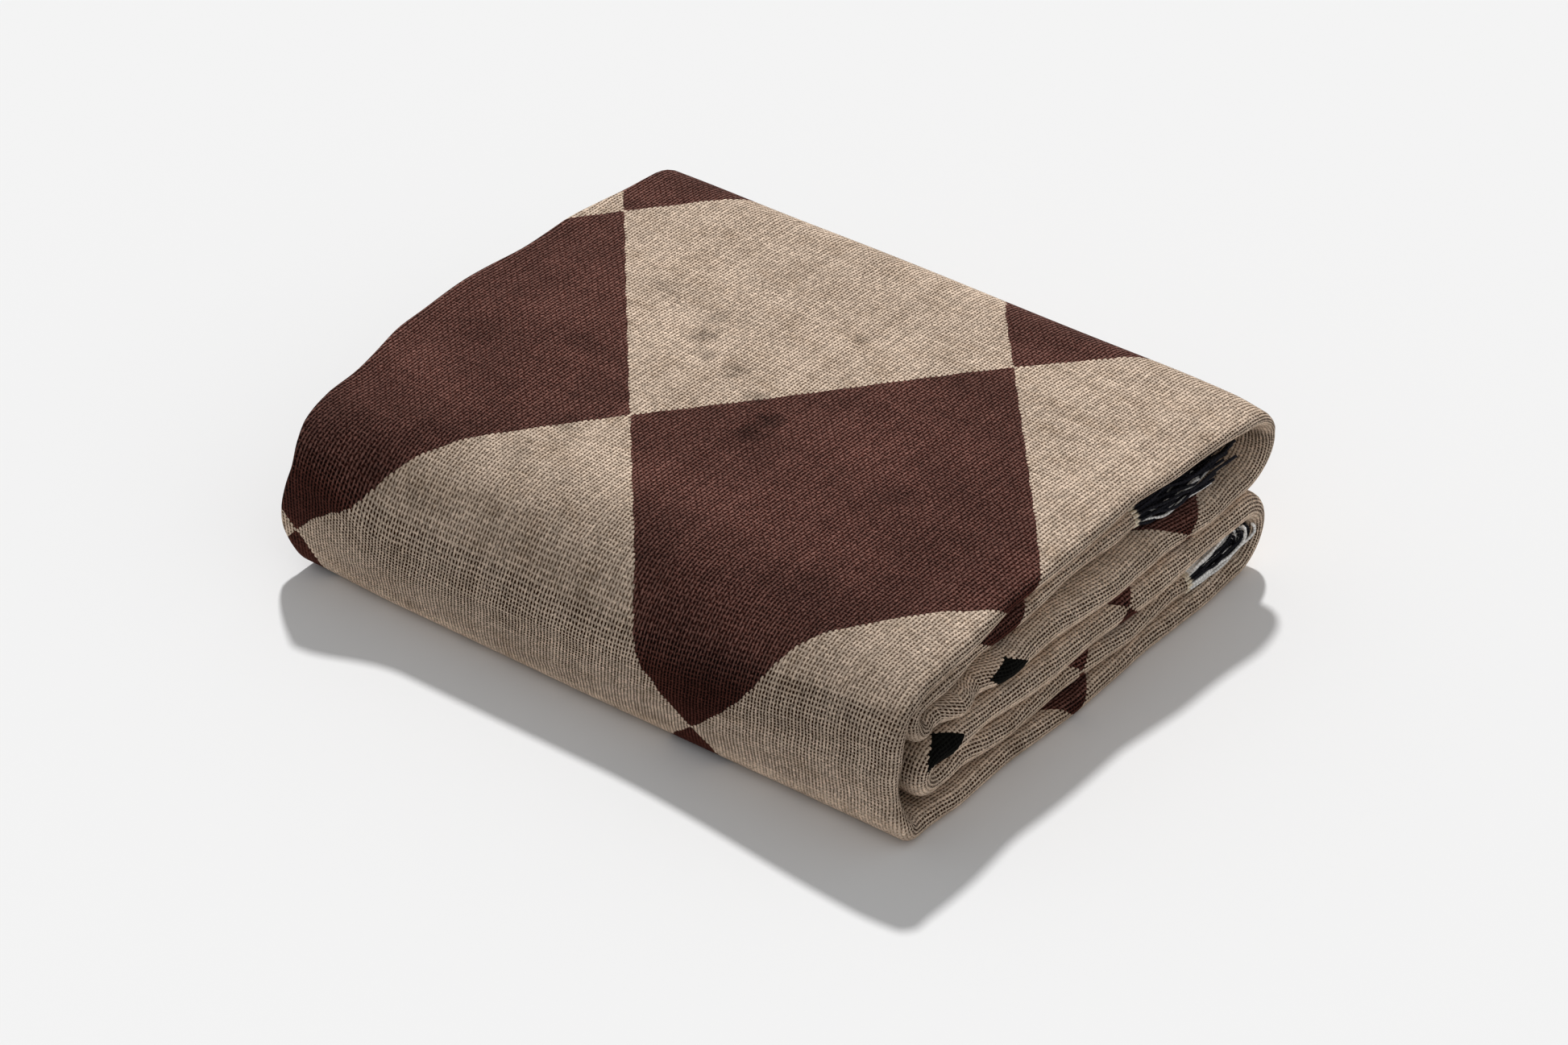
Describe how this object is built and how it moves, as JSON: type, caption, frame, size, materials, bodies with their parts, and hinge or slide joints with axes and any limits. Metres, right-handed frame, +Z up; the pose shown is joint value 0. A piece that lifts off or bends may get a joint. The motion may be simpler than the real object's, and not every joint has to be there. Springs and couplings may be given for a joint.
{
  "type": "folded throw blanket",
  "caption": "Woven cotton throw folded into a flat pile of plies, smooth outer wrap on one long side, yarn fringe tucked inside the folds.",
  "frame": {"origin": "on the resting face, under the middle of the pile's box", "axes": "+X along the long side towards the end with the even folds, -Y towards the smooth outer wrap, +Z up"},
  "size_m": [0.3182, 0.256, 0.0703],
  "materials": {
    "woven_cotton": "matt coarse plain weave in maroon, beige and black",
    "fringe_yarn": "matt twisted yarn in dark navy and white"
  },
  "bodies": {
    "root": {"blanket_cloth": "woven_cotton", "fringe_upper": "fringe_yarn", "fringe_lower": "fringe_yarn"}
  },
  "joints": []
}
